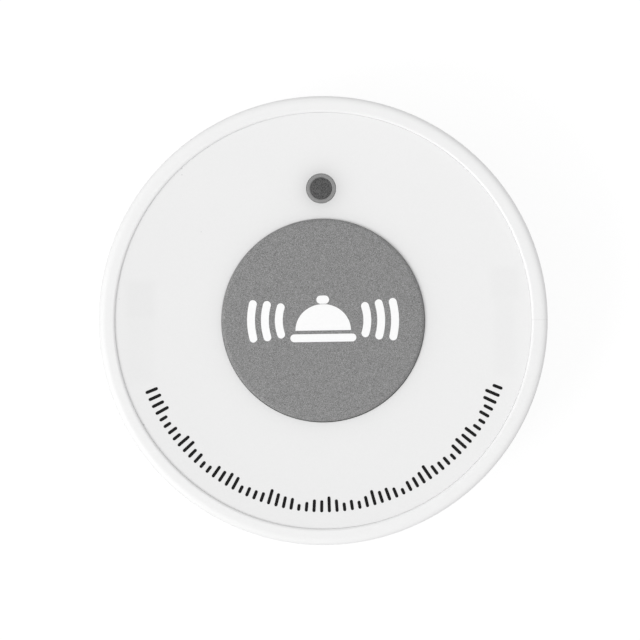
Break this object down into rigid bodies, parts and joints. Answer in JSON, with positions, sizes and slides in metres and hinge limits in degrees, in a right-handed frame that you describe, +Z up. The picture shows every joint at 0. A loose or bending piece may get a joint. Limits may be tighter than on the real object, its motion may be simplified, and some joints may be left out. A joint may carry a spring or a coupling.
{
  "type": "waiter call button",
  "caption": "Round wireless call button with a recessed top plate, a large sprung key, an indicator light, a coin-cell door and wall keyholes.",
  "frame": {"origin": "on the table under the middle of the housing, at the foot ring's lowest face", "axes": "+Z up through the key, +Y from the key towards the indicator light"},
  "size_m": [0.06, 0.06, 0.0164],
  "materials": {
    "white_abs": "fine satin moulding",
    "grey_abs": "fine spark-eroded grain",
    "grey_silicone": "matt",
    "dark_rubber": "matt",
    "smoked_lens": "smoked, diffused",
    "natural_nylon": "satin",
    "zinc_screw": "zinc plated",
    "board_laminate": "solder mask over glass laminate",
    "black_moulding": "matt moulding compound",
    "stainless_sheet": "rolled",
    "tinned_lead": "bright tin",
    "nickel_can": "nickel plated, drawn",
    "black_ceramic": "glazed ceramic chip",
    "tan_ceramic": "ceramic chip",
    "copper_wire": "enamelled",
    "gilt_bronze": "gold flash"
  },
  "bodies": {
    "housing": {"rear_case": "white_abs", "foot_ring": "dark_rubber", "case_screws": "zinc_screw", "top_plate": "white_abs", "rim_seal": "dark_rubber", "silicone_membrane": "grey_silicone", "clamp_ring": "natural_nylon", "circuit_board": "board_laminate", "board_screws": "zinc_screw", "switch_body": "black_moulding", "switch_cover": "stainless_sheet", "switch_terminals": "tinned_lead", "switch_dome": "stainless_sheet", "indicator_light": "smoked_lens", "light_leads": "tinned_lead", "light_spacer": "natural_nylon", "encoder_chip": "black_moulding", "radio_transistor": "black_moulding", "chip_leads": "tinned_lead", "saw_resonator": "nickel_can", "chip_resistors": "black_ceramic", "chip_capacitors": "tan_ceramic", "antenna_coil": "copper_wire", "cell_can": "nickel_can", "cell_seal": "black_moulding", "cell_cap": "nickel_can", "negative_contact": "gilt_bronze", "positive_contact": "gilt_bronze"},
    "key": {"call_key": "grey_abs"},
    "stem": {"switch_stem": "black_moulding"},
    "door": {"cell_door": "white_abs", "door_seal": "dark_rubber"}
  },
  "joints": [
    {"name": "key_press", "type": "slide", "parent": "housing", "child": "key", "axis": [0, 0, -1], "range_m": [0, 0.00045], "stiffness_N_per_m": 2500, "springref_m": -0.0003, "deforming": ["silicone_membrane"]},
    {"name": "stem_press", "type": "slide", "parent": "housing", "child": "stem", "axis": [0, 0, -1], "range_m": [0, 0.00025], "deforming": ["switch_dome"]},
    {"name": "door_twist", "type": "hinge", "parent": "housing", "child": "door", "pos_m": [0, 0, 0.0014], "axis": [0, 0, -1], "range_deg": [0, 45]}
  ],
  "couplings": [
    {"joint": "stem_press", "follows": "key_press", "ratio": 0.5555}
  ]
}
